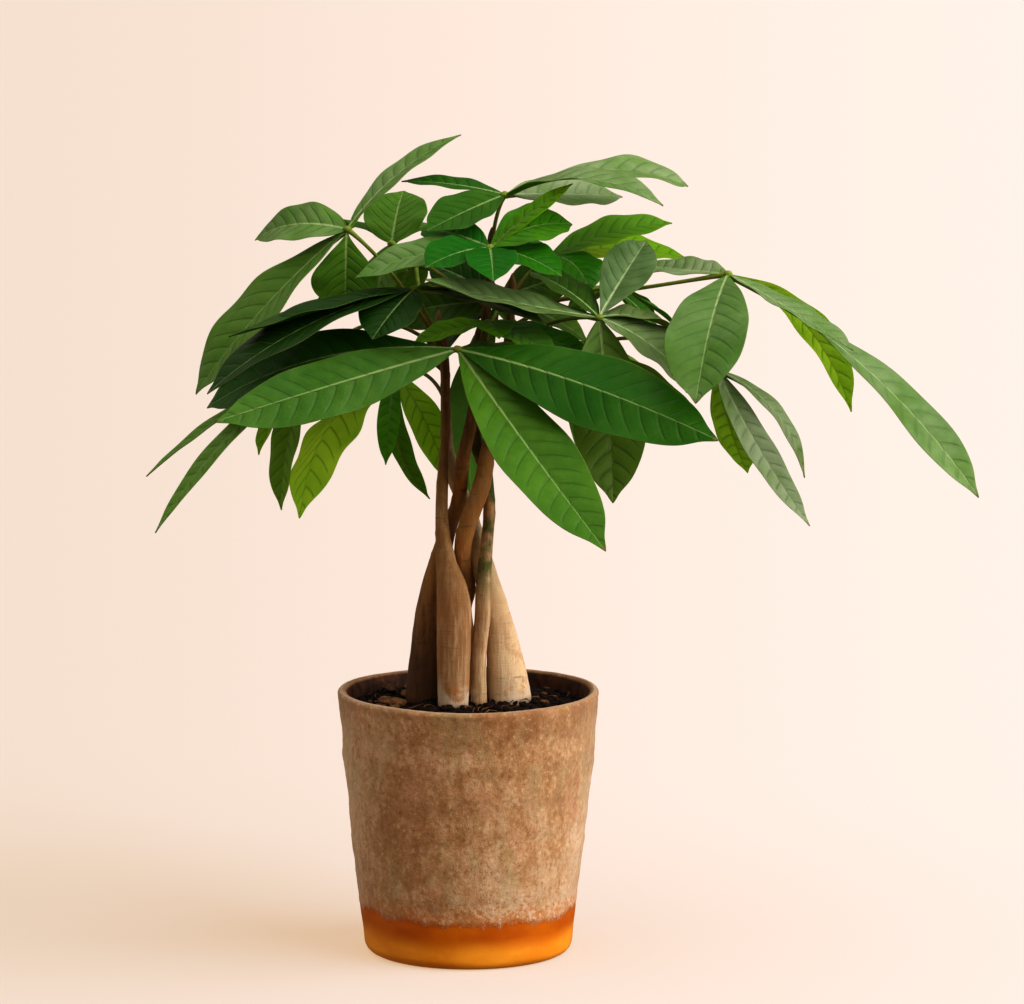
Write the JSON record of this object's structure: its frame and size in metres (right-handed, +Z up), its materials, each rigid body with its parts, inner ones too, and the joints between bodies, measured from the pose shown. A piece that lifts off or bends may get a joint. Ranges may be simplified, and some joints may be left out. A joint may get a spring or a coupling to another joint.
{
  "type": "potted money tree",
  "caption": "House plant with braided woody stems and hand-shaped compound leaves, standing in soil in a round tapered clay pot.",
  "frame": {"origin": "centre of the pot's flat bottom", "axes": "+Z up along the pot's axis, +X to the right in the picture, +Y away from the camera"},
  "size_m": [0.4429, 0.3426, 0.4425],
  "materials": {
    "pot_clay": "matte",
    "soil": "matte",
    "bark": "matte",
    "leaf_green": "satin",
    "leaf_dark": "satin",
    "leaf_bright": "satin"
  },
  "bodies": {
    "root": {"pot": "pot_clay", "soil": "soil", "stem_front_left": "bark", "stem_left": "bark", "stem_back": "bark", "stem_middle": "bark", "stem_right": "bark", "leaf_front": "leaf_green", "leaf_right": "leaf_green", "leaf_low_right": "leaf_green", "leaf_left": "leaf_green", "leaf_top": "leaf_green", "leaf_upper_left": "leaf_green", "leaf_low_left": "leaf_green", "leaf_back_left": "leaf_green", "leaf_back": "leaf_green", "leaf_back_right": "leaf_green", "leaf_right_back": "leaf_green", "leaf_middle_right": "leaf_dark", "leaf_middle_left": "leaf_dark", "leaf_inner": "leaf_dark", "leaf_centre": "leaf_bright", "leaf_upper_right": "leaf_bright", "leaf_hanging": "leaf_bright", "leaf_young": "leaf_bright"}
  },
  "joints": []
}
